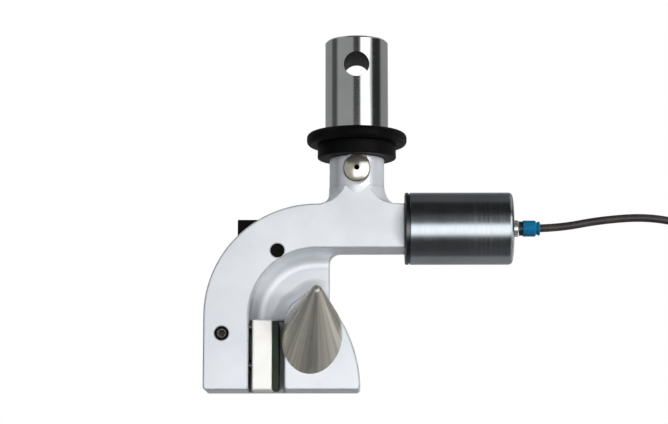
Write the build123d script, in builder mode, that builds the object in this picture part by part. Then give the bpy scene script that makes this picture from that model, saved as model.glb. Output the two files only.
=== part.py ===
from build123d import *
import math
import os

# Pneumatic cord grip for a tensile tester: a goose-neck body with a horn and a tilted cone,
# a lever-driven jaw, a single-acting air cylinder, and a pinned shank adapter with a lock ring.
# Millimetres. +Z runs up the shank, +X points towards the cylinder, and the front faces -Y.
# The origin is the centre of the cross hole in the shank.

os.makedirs("parts", exist_ok=True)

# Fits
run_gap = 0.05  # radial clearance of a shaft that turns or slides
fixed_gap = 0.02  # radial clearance of a piece that stays put
side_gap = 0.3  # clearance between flat faces that pass each other
edge_break = 0.5  # chamfer on the machined edges
cut_past = 1.0  # how far a cut runs past the face that it opens
screw_end_gap = 1.0  # between a screw's tip and the end of its hole
socket_share = 0.42  # socket width over a cap screw's head diameter

# Shank adapter
shank_dia = 31.75
shank_above = 14.7  # cross hole to top face
shank_chamfer = 1.0
cross_hole_dia = 12.7
spigot_dia = 20.0
spigot_length = 18.5

# Lock ring: a thrust washer that slides on the thread's crest, and a nut that lifts it
washer_dia = 50.4
washer_thick = 6.2
washer_drop = 32.8  # cross hole to the washer's top face
washer_round = 2.4
thread_dia = 33.0
nut_dia = 39.6
nut_thick = 6.7
nut_round = 0.8
tommy_hole_dia = 4.4
tommy_hole_depth = 2.2

# Coupling pin through the neck
coupling_pin_dia = 12.7
coupling_pin_drop = 6.8  # neck top to pin axis
coupling_pin_proud = 0.9
coupling_dome_radius = 13.8
coupling_relief_dia = 16.8
centre_drill_dia = 2.6
centre_drill_depth = 2.4
lock_screw_dia = 4.0

# Body
body_thick = 25.4
neck_dia = 27.5
neck_drop = 24.7  # neck top to the arm's top face
flare_left = 5.5
flare_right = 9.4
flare_step = 0.15  # ledge between the turned neck and the milled flare
neck_taper_length = 5.5
arm_height = 22.3
arm_end_x = 24.0
throat_radius = 33.5
throat_x = -20.0
leg_drop = 36.7  # throat centre to the leg's foot
foot_round = 1.8
web_thick = 7.4
web_edge_x = -13.8
web_corner = 5.5
floor_fillet = 7.5

# Lever and its slot
slot_width = 9.0
slot_wall = 5.2  # between the slot's floor and the throat
slot_end_left = 16.0  # throat centre to the slot's upper end
slot_foot = 4.6  # solid foot under the slot
lever_thick = 8.4
lever_edge_gap = 1.6  # between the lever's inner edge and the slot's floor
lever_band = 10.9  # lever width along the leg
fulcrum_inset = 9.1  # leg's outer face to the fulcrum
fulcrum_drop = 8.8  # throat centre to the fulcrum
fulcrum_pin_dia = 7.1
fulcrum_socket_flats = 3.6
lever_bush_dia = 10.0
lever_hub_radius = 7.4
lever_top_left = 29.0  # throat centre to the lever's push face
lever_top_width = 10.6
lever_top_above = 4.0  # above the rod axis
rod_tip_gap = 0.45
nose_radius = 3.0
nose_drop = 14.6  # fulcrum to the nose's centre
window_above = 13.0  # nose's centre to the top of its window
window_below = 5.0
heel_above = 40.5  # fulcrum to the heel's lower edge
heel_height = 4.2
stop_pin_dia = 7.0
stop_pin_left = 19.4  # throat centre to the stop pin
stop_pin_drop = 1.2  # arm's lower face to pin axis
pin_inset = 0.3  # pin ends under the body's faces

# Jaw
jaw_back_gap = 1.9
jaw_thick = 9.8
jaw_height = 35.0
pad_thick = 3.2
pad_inset = 0.5
jaw_opening = 2.8
jaw_chamfer = 0.6
guide_pin_dia = 4.0
guide_bush_dia = 6.0
guide_side_y = -8.6
guide_pin_drop = 3.6  # jaw top to guide pin axis
guide_pin_grip = 6.0
guide_pin_reach = 8.0
return_screw_drop = 22.6  # jaw top to return screw axis
return_screw_dia = 3.0
return_head_dia = 5.0
return_head_thick = 2.6
return_bore_dia = 5.4
return_bore_wall = 4.0
return_screw_grip = 5.0
return_spring_length = 10.5
return_spring_dia = 4.6
return_wire_dia = 0.5
return_spring_turns = 6
pad_screw_dia = 3.0
pad_head_dia = 5.0
pad_head_thick = 2.6
pad_screw_depth = 2.2

# Horn and cone
horn_wall = 35.9
horn_width = 37.3
horn_flank_foot = 2.9
horn_shoulder = (3.3, 42.4)
horn_tip = (15.3, 51.4)
horn_flank_top = (22.8, 41.9)
horn_flank_middle = (30.6, 29.4)
horn_shoulder_round = 5.0
horn_tip_round = 4.5
cone_half_angle = 23.4
cone_reach = 27.4  # body face to apex
cone_blank_length = 60.0  # turned blank, before it is cut flat at the horn
cone_apex_right = 16.8  # horn's flat face to apex
cone_apex_above = 50.1  # horn's foot to apex
cone_foot_right = 14.3
cone_foot_above = 31.9
cone_tip_round = 2.8
cone_spigot_dia = 11.0
cone_spigot_length = 4.0
cone_screw_dia = 6.0
cone_screw_head_dia = 10.0
cone_screw_head_thick = 6.0
cone_screw_grip = 5.0

# Air cylinder
barrel_dia = 36.2
barrel_length = 53.8
bore_dia = 28.0
rear_wall = 6.0
rear_round = 2.0
rod_drop = 10.9  # arm's top face to the rod axis
rod_dia = 8.0
rod_tip_round = 5.0
rod_bore_dia = 9.0
rod_bush_dia = 11.0
rod_bush_length = 8.0
nose_thread_dia = 16.0
nose_thread_length = 10.0
cap_flange = 1.8
cap_groove = 0.6
cap_spigot_length = 8.0
cap_ring_dia = 2.0  # section of the cap's o-ring
cap_ring_groove = 2.4
piston_width = 9.0
piston_gap = 0.8  # to the rear wall at rest
piston_running = 0.08
seal_place = 5.9  # piston's front face to the seal
seal_width = 2.6
seal_depth = 2.4
guide_ring_place = 1.1  # piston's front face to the guide ring
guide_ring_width = 2.6
guide_ring_depth = 1.2
rod_stud_dia = 6.0
piston_nut_flats = 10.0
piston_nut_thick = 3.6
main_wire_dia = 1.8
main_spring_dia = 20.0
main_spring_turns = 5.5

# Air fitting
port_dia = 5.0
port_depth = 5.0
fitting_bore_dia = 2.5
fitting_base_dia = 8.4
fitting_base_length = 3.2
fitting_ring_thick = 2.2
fitting_ring_dia = 7.2
fitting_sleeve_dia = 8.1
fitting_sleeve_length = 6.4
collar_dia = 7.0
collar_out = 2.0
collar_travel = 1.0
collar_wall_dia = 6.2
collar_depth = 3.0

# Air hose
hose_dia = 4.0
hose_seat = 7.0  # hose length inside the fitting
coil_radius = 22.0
coil_section = 6.4
coil_x = 189.0
coil_z = -152.0
tail_side_y = -4.2
tail_drop = 34.0
tie_wall = 0.9
tie_width = 5.0
plug_dia = 9.0
plug_length = 22.0
plug_stem_dia = 5.6
plug_stem_length = 9.0

# Levels and places worked out from the sizes above
half = body_thick / 2
neck_radius = neck_dia / 2
washer_top_z = -washer_drop
washer_foot_z = washer_top_z - washer_thick
neck_top_z = washer_foot_z - nut_thick
coupling_z = neck_top_z - coupling_pin_drop
arm_top_z = neck_top_z - neck_drop
arm_foot_z = arm_top_z - arm_height
throat_z = arm_foot_z - throat_radius
outer_radius = throat_radius + arm_height
leg_outer_x = throat_x - outer_radius
leg_inner_x = throat_x - throat_radius
foot_z = throat_z - leg_drop
rod_z = arm_top_z - rod_drop
fulcrum_z = throat_z - fulcrum_drop
jaw_x = leg_inner_x + jaw_back_gap
pad_x = jaw_x + jaw_thick
horn_x = pad_x + pad_thick + jaw_opening
web_front_y = half - web_thick
jaw_back_y = web_front_y - side_gap
jaw_top_z = foot_z + jaw_height
slot_radius = throat_radius + slot_wall
slot_end_x = throat_x - slot_end_left
fulcrum_x = leg_outer_x + fulcrum_inset
lever_top_x = throat_x - lever_top_left
stop_pin_x = throat_x - stop_pin_left
nose_z = fulcrum_z - nose_drop
nose_x = jaw_x - side_gap - nose_radius
rod_tip_x = lever_top_x + rod_tip_gap
heel_z = fulcrum_z + heel_above
stop_pin_z = arm_foot_z - stop_pin_drop
barrel_end_x = arm_end_x + barrel_length
barrel_start_x = arm_end_x + cap_flange + cap_groove
bore_end_x = barrel_end_x - rear_wall
cap_spigot_x = barrel_start_x + cap_spigot_length
piston_end_x = bore_end_x - piston_gap
piston_start_x = piston_end_x - piston_width

front = (0, -1, 0)
back = (0, 1, 0)
left = (-1, 0, 0)
right = (1, 0, 0)
rod_axis = Axis((0, 0, rod_z), right)


# Outline of the horn, and the pocket that is milled round it with a large radius at its floor
with BuildSketch(Plane.XZ) as horn_profile:
    with BuildLine():
        shoulder = (horn_x + horn_shoulder[0], foot_z + horn_shoulder[1])
        tip = (horn_x + horn_tip[0], foot_z + horn_tip[1])
        flank_top = (horn_x + horn_flank_top[0], foot_z + horn_flank_top[1])
        flank_middle = (horn_x + horn_flank_middle[0], foot_z + horn_flank_middle[1])
        flank_foot = (horn_x + horn_width, foot_z + horn_flank_foot)
        Polyline(
            (horn_x + horn_width, foot_z),
            (horn_x, foot_z),
            (horn_x, foot_z + horn_wall),
            shoulder,
            tip,
            flank_top,
        )
        ThreePointArc(flank_top, flank_middle, flank_foot)
        Line(flank_foot, (horn_x + horn_width, foot_z))
    make_face()
    fillet(horn_profile.vertices().sort_by_distance(shoulder)[0], radius=horn_shoulder_round)
    fillet(horn_profile.vertices().sort_by_distance(tip)[0], radius=horn_tip_round)
    fillet(horn_profile.vertices().group_by(Axis.Y)[0], radius=foot_round)

with BuildPart() as pocket:
    with BuildSketch(Plane.XZ.offset(-web_front_y)):
        with BuildLine():
            past_foot = foot_z - body_thick
            CenterArc((throat_x, throat_z), throat_radius, 90, 90)
            Polyline(
                (leg_inner_x, throat_z),
                (leg_inner_x, past_foot),
                (arm_end_x + body_thick, past_foot),
                (arm_end_x + body_thick, arm_foot_z),
                (throat_x, arm_foot_z),
            )
        make_face()
        add(horn_profile.sketch, mode=Mode.SUBTRACT)
    extrude(amount=body_thick)
    floor_edges = pocket.faces().sort_by(Axis.Y)[-1].edges()
    fillet(floor_edges.filter_by(lambda e: e.center().Z > foot_z + foot_round), radius=floor_fillet)


# Body: arm, leg, horn and web machined from one block, with a turned neck
with BuildPart() as body_frame:
    with BuildSketch(Plane.XZ) as arm_profile:
        with BuildLine():
            flare_top_z = arm_top_z + flare_right
            flare_x = neck_radius + flare_step
            Polyline(
                (flare_x, flare_top_z),
                (-flare_x, flare_top_z),
                (-flare_x, arm_top_z + flare_left),
            )
            CenterArc((-flare_x - flare_left, arm_top_z + flare_left), flare_left, 0, -90)
            Line((-flare_x - flare_left, arm_top_z), (throat_x, arm_top_z))
            CenterArc((throat_x, throat_z), outer_radius, 90, 90)
            Polyline(
                (leg_outer_x, throat_z),
                (leg_outer_x, foot_z),
                (leg_inner_x, foot_z),
                (leg_inner_x, throat_z),
            )
            CenterArc((throat_x, throat_z), throat_radius, 180, -90)
            Polyline(
                (throat_x, arm_foot_z),
                (arm_end_x, arm_foot_z),
                (arm_end_x, arm_top_z),
                (flare_x + flare_right, arm_top_z),
            )
            CenterArc((flare_x + flare_right, flare_top_z), flare_right, 270, -90)
        make_face()
        fillet(arm_profile.vertices().group_by(Axis.Y)[0], radius=foot_round)
    extrude(amount=half, both=True)

    # Slab across the throat, which the pocket leaves as the web at the back and the horn
    with BuildSketch(Plane.XZ):
        with BuildLine():
            into_arm = slot_wall / 2
            corner_x = web_edge_x + web_corner
            Polyline(
                (corner_x, arm_foot_z),
                (corner_x, arm_foot_z + into_arm),
                (leg_inner_x - into_arm, arm_foot_z + into_arm),
                (leg_inner_x - into_arm, foot_z),
                (horn_x + into_arm, foot_z),
                (horn_x + into_arm, foot_z + horn_wall),
                (web_edge_x, foot_z + horn_flank_middle[1]),
                (web_edge_x, arm_foot_z - web_corner),
            )
            CenterArc((corner_x, arm_foot_z - web_corner), web_corner, 180, -90)
        make_face()
    extrude(amount=half, both=True)
    extrude(horn_profile.sketch, amount=half, both=True)
    add(pocket.part, mode=Mode.SUBTRACT)

    # Square bay for the jaw
    with Locations(((leg_inner_x + horn_x) / 2, (web_front_y - half) / 2, foot_z)):
        Box(
            horn_x - leg_inner_x,
            half + web_front_y,
            2 * (jaw_height + edge_break),
            mode=Mode.SUBTRACT,
        )

    chamfer(body_frame.faces().filter_by(Axis.Y).group_by(Axis.Y)[0].edges(), length=edge_break)
    chamfer(body_frame.faces().filter_by(Axis.Y).group_by(Axis.Y)[-1].edges(), length=edge_break)

    # The lathe's run-out under the neck, then the neck itself
    with BuildSketch(Plane.XZ):
        with BuildLine():
            turned_x = flare_x + flare_step
            CenterArc((turned_x + flare_right, flare_top_z), flare_right, 180, 90)
            Polyline(
                (turned_x + flare_right, arm_top_z),
                (turned_x + 2 * flare_right, arm_top_z),
                (turned_x + 2 * flare_right, neck_top_z),
                (turned_x, neck_top_z),
                (turned_x, flare_top_z),
            )
        make_face()
    revolve(axis=Axis.Z, mode=Mode.SUBTRACT)
    with BuildSketch(Plane.XZ):
        with BuildLine():
            Polyline(
                (0, neck_top_z),
                (neck_radius, neck_top_z),
                (neck_radius, flare_top_z - edge_break),
                (half - edge_break, flare_top_z - neck_taper_length),
                (0, flare_top_z - neck_taper_length),
                close=True,
            )
        make_face()
    revolve(axis=Axis.Z)
    chamfer(body_frame.edges().group_by(Axis.Z)[-1], length=edge_break)

    # Lever slot, open to the outside of the bend, and the window for the lever's nose
    with BuildSketch(Plane.XZ):
        with BuildLine():
            slot_start = math.degrees(math.acos((slot_end_x - throat_x) / slot_radius))
            slot_floor_z = throat_z + slot_radius * math.sin(math.radians(slot_start))
            CenterArc((throat_x, throat_z), slot_radius, slot_start, 180 - slot_start)
            Polyline(
                (throat_x - slot_radius, throat_z),
                (throat_x - slot_radius, foot_z + slot_foot),
                (leg_outer_x - slot_width, foot_z + slot_foot),
                (leg_outer_x - slot_width, arm_top_z + slot_width),
                (slot_end_x, arm_top_z + slot_width),
                (slot_end_x, slot_floor_z),
            )
        make_face()
        window_left = throat_x - slot_radius - cut_past
        window_right = leg_inner_x + cut_past
        with Locations(((window_left + window_right) / 2, nose_z - window_below)):
            Rectangle(
                window_right - window_left,
                window_above + window_below,
                align=(Align.CENTER, Align.MIN),
            )
        with Locations((fulcrum_x, fulcrum_z)):
            Circle(lever_hub_radius + side_gap)
    extrude(amount=slot_width / 2, both=True, mode=Mode.SUBTRACT)

    # Bores for the cylinder's nose, the rod and its guide bush
    with Locations(Plane(origin=(arm_end_x, 0, rod_z), z_dir=right)):
        Hole(radius=nose_thread_dia / 2 + fixed_gap, depth=nose_thread_length)
        Hole(radius=rod_bore_dia / 2, depth=arm_end_x - slot_end_x)
    with Locations(Plane(origin=(slot_end_x, 0, rod_z), z_dir=left)):
        Hole(radius=rod_bush_dia / 2 + fixed_gap, depth=rod_bush_length)

    # Socket for the adapter's spigot, cross hole for the coupling pin, hole for its lock screw
    with Locations((0, 0, neck_top_z)):
        Hole(radius=spigot_dia / 2 + fixed_gap, depth=spigot_length + side_gap)
    with Locations(Plane(origin=(0, -neck_radius, coupling_z), z_dir=front)):
        CounterSinkHole(
            radius=coupling_pin_dia / 2 + fixed_gap,
            counter_sink_radius=coupling_relief_dia / 2,
            depth=neck_dia,
            counter_sink_angle=90,
        )
    with Locations(Plane(origin=(-neck_radius, 0, coupling_z), z_dir=left)):
        Hole(radius=lock_screw_dia / 2 + fixed_gap, depth=neck_radius)

    # Cross holes for the fulcrum pin and the stop pin
    with Locations(Plane(origin=(fulcrum_x, -half, fulcrum_z), z_dir=front)):
        Hole(radius=fulcrum_pin_dia / 2 + fixed_gap, depth=body_thick)
    with Locations(Plane(origin=(stop_pin_x, -half, stop_pin_z), z_dir=front)):
        Hole(radius=stop_pin_dia / 2 + fixed_gap, depth=body_thick)

    # Holes in the front cheek for the jaw's guide pin and return screw
    guide_z = jaw_top_z - guide_pin_drop
    return_z = jaw_top_z - return_screw_drop
    with Locations(Plane(origin=(leg_inner_x, guide_side_y, guide_z), z_dir=right)):
        Hole(radius=guide_bush_dia / 2 + fixed_gap, depth=guide_pin_reach + edge_break)
    with Locations(Plane(origin=(leg_inner_x, guide_side_y, return_z), z_dir=right)):
        Hole(radius=return_screw_dia / 2 + run_gap, depth=arm_height)
    with Locations(Plane(origin=(leg_outer_x, guide_side_y, return_z), z_dir=left)):
        Hole(radius=return_bore_dia / 2, depth=arm_height - return_bore_wall)

    # Counterbored hole through the horn for the cone's screw and spigot
    cone_hole_x = horn_x + cone_foot_right
    cone_hole_z = foot_z + cone_foot_above
    with Locations(Plane(origin=(cone_hole_x, half, cone_hole_z), z_dir=back)):
        CounterBoreHole(
            radius=cone_screw_dia / 2 + fixed_gap,
            counter_bore_radius=cone_screw_head_dia / 2 + side_gap,
            counter_bore_depth=cone_screw_head_thick + side_gap,
            depth=body_thick,
        )
    with Locations(Plane(origin=(cone_hole_x, -half, cone_hole_z), z_dir=front)):
        Hole(radius=cone_spigot_dia / 2 + fixed_gap, depth=cone_spigot_length + side_gap)
body_frame.part.label = "body_frame"
export_step(body_frame.part, "parts/body_frame.step")


# Shank adapter: shank, thread for the lock nut and a spigot that the coupling pin holds
with BuildPart() as shank_adapter:
    with BuildSketch(Plane.XZ):
        with BuildLine():
            Polyline(
                (0, shank_above),
                (shank_dia / 2 - shank_chamfer, shank_above),
                (shank_dia / 2, shank_above - shank_chamfer),
                (shank_dia / 2, washer_top_z),
                (thread_dia / 2, washer_top_z),
                (thread_dia / 2, neck_top_z),
                (spigot_dia / 2, neck_top_z),
                (spigot_dia / 2, neck_top_z - spigot_length),
                (0, neck_top_z - spigot_length),
                close=True,
            )
        make_face()
    revolve(axis=Axis.Z)
    with Locations(Plane(origin=(0, -shank_dia / 2, 0), z_dir=front)):
        Hole(radius=cross_hole_dia / 2, depth=shank_dia)
    with Locations(Plane(origin=(0, -spigot_dia / 2, coupling_z), z_dir=front)):
        Hole(radius=coupling_pin_dia / 2 + fixed_gap, depth=spigot_dia)
    with Locations(Plane(origin=(-spigot_dia / 2, 0, coupling_z), z_dir=left)):
        Hole(radius=lock_screw_dia / 2 + fixed_gap, depth=spigot_dia / 2)
    foot_edges = shank_adapter.edges().filter_by(GeomType.CIRCLE).group_by(Axis.Z)[0]
    chamfer(foot_edges, length=edge_break)
shank_adapter.part.label = "shank_adapter"
export_step(shank_adapter.part, "parts/shank_adapter.step")


with BuildPart() as thrust_washer:
    with BuildSketch(Plane.XY.offset(washer_foot_z)):
        Circle(washer_dia / 2)
        Circle(thread_dia / 2 + run_gap, mode=Mode.SUBTRACT)
    extrude(amount=washer_thick)
    rims = thrust_washer.edges().filter_by(GeomType.CIRCLE).group_by(lambda e: e.radius)[-1]
    fillet(rims, radius=washer_round)
thrust_washer.part.label = "thrust_washer"
export_step(thrust_washer.part, "parts/thrust_washer.step")


with BuildPart() as lock_nut:
    with BuildSketch(Plane.XY.offset(neck_top_z)):
        Circle(nut_dia / 2)
        Circle(thread_dia / 2 + run_gap, mode=Mode.SUBTRACT)
    extrude(amount=nut_thick)
    nut_rims = lock_nut.edges().filter_by(GeomType.CIRCLE).group_by(lambda e: e.radius)[-1]
    fillet(nut_rims.sort_by(Axis.Z)[0], radius=nut_round)
    for side in (left, right):
        tommy_place = (side[0] * nut_dia / 2, 0, neck_top_z + nut_thick / 2)
        with Locations(Plane(origin=tommy_place, z_dir=side)):
            Hole(radius=tommy_hole_dia / 2, depth=tommy_hole_depth)
lock_nut.part.label = "lock_nut"
export_step(lock_nut.part, "parts/lock_nut.step")


# Coupling pin with domed ends and centre-drilled marks
with BuildPart() as coupling_pin:
    with BuildSketch(Plane.XY.offset(coupling_z)):
        with BuildLine():
            pin_r = coupling_pin_dia / 2
            drill_r = centre_drill_dia / 2
            pin_end = neck_radius + coupling_pin_proud
            dome_centre = pin_end - math.sqrt(coupling_dome_radius**2 - drill_r**2)
            dome_foot = dome_centre + math.sqrt(coupling_dome_radius**2 - pin_r**2)
            dome_start = math.degrees(math.asin(drill_r / coupling_dome_radius))
            dome_turn = math.degrees(math.asin(pin_r / coupling_dome_radius)) - dome_start
            Polyline(
                (0, pin_end - centre_drill_depth),
                (0, -pin_end + centre_drill_depth),
                (drill_r, -pin_end + drill_r),
                (drill_r, -pin_end),
            )
            CenterArc((0, -dome_centre), coupling_dome_radius, dome_start - 90, dome_turn)
            Line((pin_r, -dome_foot), (pin_r, dome_foot))
            CenterArc((0, dome_centre), coupling_dome_radius, 90 - dome_start, -dome_turn)
            Polyline(
                (drill_r, pin_end),
                (drill_r, pin_end - drill_r),
                (0, pin_end - centre_drill_depth),
            )
        make_face()
    revolve(axis=Axis((0, 0, coupling_z), back))
coupling_pin.part.label = "coupling_pin"
export_step(coupling_pin.part, "parts/coupling_pin.step")


# Grub screw that holds the coupling pin
with BuildPart() as pin_lock_screw:
    with BuildSketch(Plane.YZ.offset(-neck_radius + edge_break)):
        with Locations((0, coupling_z)):
            Circle(lock_screw_dia / 2)
    extrude(amount=neck_radius - edge_break - coupling_pin_dia / 2 - fixed_gap)
    with BuildSketch(Plane.YZ.offset(-neck_radius + edge_break)):
        with Locations((0, coupling_z)):
            RegularPolygon(lock_screw_dia / 4, 6)
    extrude(amount=lock_screw_dia / 2, mode=Mode.SUBTRACT)
pin_lock_screw.part.label = "pin_lock_screw"
export_step(pin_lock_screw.part, "parts/pin_lock_screw.step")


# Cone on the horn's face: a turned cone whose axis leans up, cut flat where it seats
cone_apex = Vector(horn_x + cone_apex_right, -half - cone_reach, foot_z + cone_apex_above)
cone_foot = Vector(cone_hole_x, -half, cone_hole_z)
cone_line = (cone_foot - cone_apex).normalized()
cone_slope = math.radians(cone_half_angle)
with BuildPart() as horn_cone:
    with BuildSketch(Plane(origin=cone_apex, x_dir=cone_line, z_dir=cone_line.cross(Vector(right)))):
        with BuildLine():
            tip_centre = cone_tip_round / math.sin(cone_slope)
            CenterArc((tip_centre, 0), cone_tip_round, 180, cone_half_angle - 90)
            Polyline(
                (tip_centre - cone_tip_round * math.sin(cone_slope), cone_tip_round * math.cos(cone_slope)),
                (cone_blank_length, cone_blank_length * math.tan(cone_slope)),
                (cone_blank_length, 0),
                (tip_centre - cone_tip_round, 0),
            )
        make_face()
    revolve(axis=Axis(cone_apex, cone_line))
    split(bisect_by=Plane(origin=(0, -half, 0), z_dir=front), keep=Keep.TOP)
    with Locations(Plane(origin=cone_foot, z_dir=back)):
        Cylinder(
            cone_spigot_dia / 2,
            cone_spigot_length,
            align=(Align.CENTER, Align.CENTER, Align.MIN),
        )
    with Locations(Plane(origin=cone_foot + Vector(0, cone_spigot_length, 0), z_dir=back)):
        Hole(radius=cone_screw_dia / 2 + fixed_gap, depth=cone_spigot_length + cone_screw_grip)
horn_cone.part.label = "horn_cone"
export_step(horn_cone.part, "parts/horn_cone.step")


def cap_screw(mouth, toward, head_dia, head_thick, shaft_dia, shaft_length):
    """A socket head screw whose head's top faces toward, with its top centre at mouth."""
    with Locations(Plane(origin=mouth, z_dir=toward)):
        Cylinder(head_dia / 2, head_thick, align=(Align.CENTER, Align.CENTER, Align.MAX))
    foot = Vector(mouth) - Vector(toward) * head_thick
    with Locations(Plane(origin=foot, z_dir=toward)):
        Cylinder(shaft_dia / 2, shaft_length, align=(Align.CENTER, Align.CENTER, Align.MAX))
    with Locations(Plane(origin=mouth, z_dir=toward)):
        Box(head_dia * socket_share, head_dia * socket_share, head_thick, mode=Mode.SUBTRACT)


# Screw that pulls the cone on to the horn from behind
with BuildPart() as cone_screw:
    cap_screw(
        (cone_hole_x, half - side_gap, cone_hole_z),
        back,
        cone_screw_head_dia,
        cone_screw_head_thick,
        cone_screw_dia,
        body_thick - cone_screw_head_thick - side_gap + cone_screw_grip - screw_end_gap,
    )
cone_screw.part.label = "cone_screw"
export_step(cone_screw.part, "parts/cone_screw.step")


# Lever: one plate that follows the bend, with a push face, a stop heel, a hub and a nose
with BuildPart() as lever:
    with BuildSketch(Plane.XZ) as lever_profile:
        with BuildLine():
            lever_inner = slot_radius + lever_edge_gap
            lever_outer = lever_inner + lever_band
            top_z = rod_z + lever_top_above
            top_left = lever_top_x - lever_top_width
            heel_x = stop_pin_x - stop_pin_dia / 2 - side_gap
            heel_top_z = heel_z + heel_height
            outer_end_z = throat_z + math.sqrt(lever_outer**2 - (top_left - throat_x) ** 2)
            outer_end = math.degrees(math.atan2(outer_end_z - throat_z, top_left - throat_x))
            shin_x = throat_x - lever_inner
            Polyline(
                (top_left, outer_end_z),
                (top_left, top_z),
                (lever_top_x, top_z),
                (lever_top_x, heel_top_z),
                (heel_x, heel_top_z),
                (heel_x, heel_z),
            )
            inner_angle = math.degrees(math.acos((lever_top_x - throat_x) / lever_inner))
            inner_z = throat_z + lever_inner * math.sin(math.radians(inner_angle))
            Line((heel_x, heel_z), (lever_top_x, inner_z))
            CenterArc((throat_x, throat_z), lever_inner, inner_angle, 180 - inner_angle)
            Polyline(
                (shin_x, throat_z),
                (shin_x, fulcrum_z - nose_radius),
                (nose_x, nose_z + nose_radius),
            )
            CenterArc((nose_x, nose_z), nose_radius, 90, -180)
            Polyline(
                (nose_x, nose_z - nose_radius),
                (fulcrum_x + nose_radius, nose_z - nose_radius),
                (throat_x - lever_outer, fulcrum_z - nose_radius),
                (throat_x - lever_outer, throat_z),
            )
            CenterArc((throat_x, throat_z), lever_outer, 180, outer_end - 180)
        make_face()
        with Locations((fulcrum_x, fulcrum_z)):
            Circle(lever_hub_radius)
            Circle(lever_bush_dia / 2 + fixed_gap, mode=Mode.SUBTRACT)
        corners = lever_profile.vertices().group_by(Axis.Y)[-1]
        fillet(corners, radius=edge_break)
    extrude(amount=lever_thick / 2, both=True)
lever.part.label = "lever"
export_step(lever.part, "parts/lever.step")


with BuildPart() as lever_bush:
    with BuildSketch(Plane.XZ):
        with Locations((fulcrum_x, fulcrum_z)):
            Circle(lever_bush_dia / 2)
            Circle(fulcrum_pin_dia / 2 + run_gap, mode=Mode.SUBTRACT)
    extrude(amount=lever_thick / 2, both=True)
lever_bush.part.label = "lever_bush"
export_step(lever_bush.part, "parts/lever_bush.step")


# Fulcrum pin with a hexagon socket in its front end, and the plain stop pin
with BuildPart() as fulcrum_pin:
    with Locations(Plane(origin=(fulcrum_x, 0, fulcrum_z), z_dir=front)):
        Cylinder(fulcrum_pin_dia / 2, body_thick - 2 * pin_inset)
    chamfer(fulcrum_pin.edges().filter_by(GeomType.CIRCLE), length=edge_break)
    with BuildSketch(Plane.XZ.offset(half - pin_inset)):
        with Locations((fulcrum_x, fulcrum_z)):
            RegularPolygon(fulcrum_socket_flats / 2, 6, major_radius=False)
    extrude(amount=-fulcrum_pin_dia / 2, mode=Mode.SUBTRACT)
fulcrum_pin.part.label = "fulcrum_pin"
export_step(fulcrum_pin.part, "parts/fulcrum_pin.step")


with BuildPart() as stop_pin:
    with Locations(Plane(origin=(stop_pin_x, 0, stop_pin_z), z_dir=front)):
        Cylinder(stop_pin_dia / 2, body_thick - 2 * pin_inset)
    chamfer(stop_pin.edges().filter_by(GeomType.CIRCLE), length=edge_break)
stop_pin.part.label = "stop_pin"
export_step(stop_pin.part, "parts/stop_pin.step")


# Jaw block, its face pad and the screws that hold the pad
pad_screw_places = [
    ((jaw_back_y - half) / 2 + guide_pin_dia, jaw_top_z - guide_pin_drop - pad_screw_dia),
    ((jaw_back_y - half) / 2, foot_z + guide_pin_drop),
]
with BuildPart() as jaw_block:
    with Locations((jaw_x, (jaw_back_y - half) / 2, foot_z)):
        Box(
            jaw_thick,
            half + jaw_back_y,
            jaw_height - edge_break,
            align=(Align.MIN, Align.CENTER, Align.MIN),
        )
    chamfer(jaw_block.faces().sort_by(Axis.Y)[0].edges(), length=jaw_chamfer)
    with Locations(Plane(origin=(jaw_x, guide_side_y, guide_z), z_dir=left)):
        Hole(radius=guide_pin_dia / 2 + fixed_gap, depth=guide_pin_grip)
    with Locations(Plane(origin=(jaw_x, guide_side_y, return_z), z_dir=left)):
        Hole(radius=return_screw_dia / 2 + fixed_gap, depth=return_screw_grip + edge_break)
    for y, z in pad_screw_places:
        with Locations(Plane(origin=(jaw_x, y, z), z_dir=left)):
            CounterBoreHole(
                radius=pad_screw_dia / 2 + fixed_gap,
                counter_bore_radius=pad_head_dia / 2 + fixed_gap,
                counter_bore_depth=pad_head_thick + side_gap,
                depth=jaw_thick,
            )
jaw_block.part.label = "jaw_block"
export_step(jaw_block.part, "parts/jaw_block.step")


with BuildPart() as jaw_pad:
    with Locations((pad_x, (jaw_back_y - half) / 2, foot_z + pad_inset)):
        Box(
            pad_thick,
            half + jaw_back_y - pad_inset,
            jaw_height - edge_break - 2 * pad_inset,
            align=(Align.MIN, Align.CENTER, Align.MIN),
        )
    chamfer(jaw_pad.faces().sort_by(Axis.X)[-1].edges(), length=edge_break)
    for y, z in pad_screw_places:
        with Locations(Plane(origin=(pad_x, y, z), z_dir=left)):
            Hole(radius=pad_screw_dia / 2 + fixed_gap, depth=pad_screw_depth + side_gap)
jaw_pad.part.label = "jaw_pad"
export_step(jaw_pad.part, "parts/jaw_pad.step")


with BuildPart() as pad_screws:
    for y, z in pad_screw_places:
        cap_screw(
            (jaw_x + side_gap, y, z),
            left,
            pad_head_dia,
            pad_head_thick,
            pad_screw_dia,
            jaw_thick - side_gap - pad_head_thick + pad_screw_depth,
        )
pad_screws.part.label = "pad_screws"
export_step(pad_screws.part, "parts/pad_screws.step")


# Jaw guide: a pin in the jaw that slides in a bush, and a screw whose spring opens the jaw
with BuildPart() as jaw_guide_pin:
    guide_length = guide_pin_grip - side_gap + jaw_back_gap + guide_pin_reach - edge_break
    with Locations(Plane(origin=(jaw_x + guide_pin_grip - side_gap, guide_side_y, guide_z), z_dir=left)):
        Cylinder(
            guide_pin_dia / 2,
            guide_length,
            align=(Align.CENTER, Align.CENTER, Align.MIN),
        )
    chamfer(jaw_guide_pin.edges().filter_by(GeomType.CIRCLE), length=edge_break)
jaw_guide_pin.part.label = "jaw_guide_pin"
export_step(jaw_guide_pin.part, "parts/jaw_guide_pin.step")


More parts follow.
